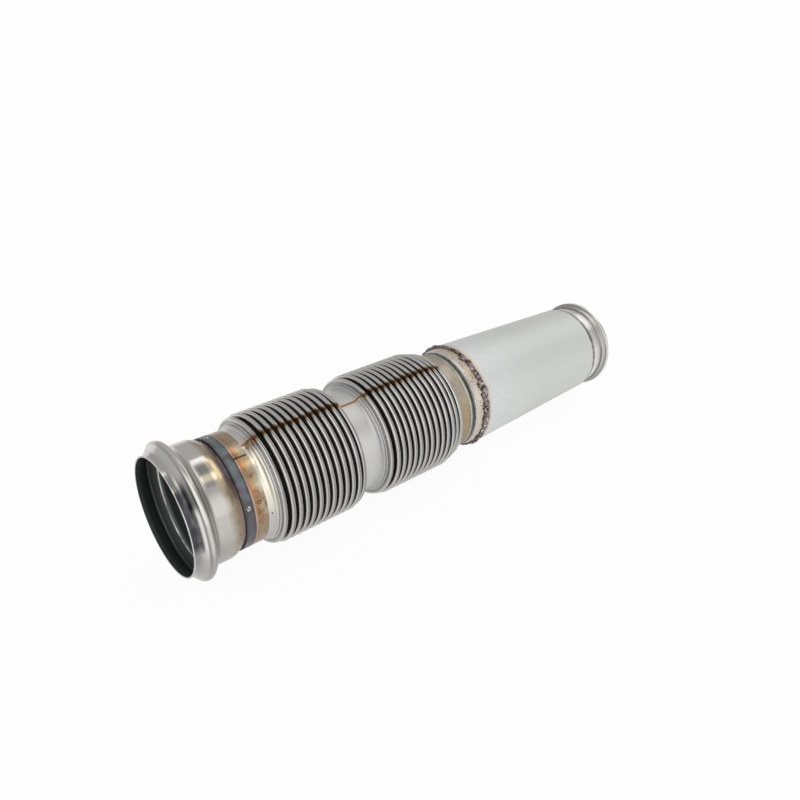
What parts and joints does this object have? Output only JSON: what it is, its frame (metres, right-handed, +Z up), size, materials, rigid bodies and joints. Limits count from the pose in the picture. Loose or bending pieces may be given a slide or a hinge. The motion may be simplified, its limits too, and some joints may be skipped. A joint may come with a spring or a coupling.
{
  "type": "exhaust pipe",
  "caption": "Sheet-metal exhaust pipe with a beaded inlet socket, a long flexible bellows, a slightly conical outlet pipe and a flared outlet flange.",
  "frame": {"origin": "centre of the inlet mouth, on the pipe's axis", "axes": "+X along the pipe's axis with the gas flow, from the inlet mouth to the outlet flange; +Z up with the pipe lying on its side"},
  "size_m": [0.6292, 0.1478, 0.1478],
  "materials": {
    "stainless_polished": "bright rolled stainless sheet with a warm heat tint near the band",
    "stainless_satin": "satin stainless",
    "heat_tinted_steel": "straw to purple heat tint",
    "oxidised_steel": "dark blue-grey scale",
    "dark_steel": "dark satin",
    "weld_metal": "rough oxidised weld bead",
    "aluminised_steel": "matt light grey aluminised sheet"
  },
  "bodies": {
    "root": {"inlet_socket": "stainless_polished", "socket_weld": "weld_metal", "retaining_band": "oxidised_steel", "band_tack_welds": "weld_metal", "split_collar": "heat_tinted_steel", "collar_spot_weld": "heat_tinted_steel", "flow_liner": "dark_steel", "bellows": "stainless_satin", "end_ring": "stainless_satin", "lip_weld": "weld_metal", "outlet_adapter": "stainless_satin", "adapter_weld": "weld_metal", "outlet_pipe": "aluminised_steel", "flange_weld": "weld_metal", "outlet_flange": "stainless_satin"}
  },
  "joints": []
}
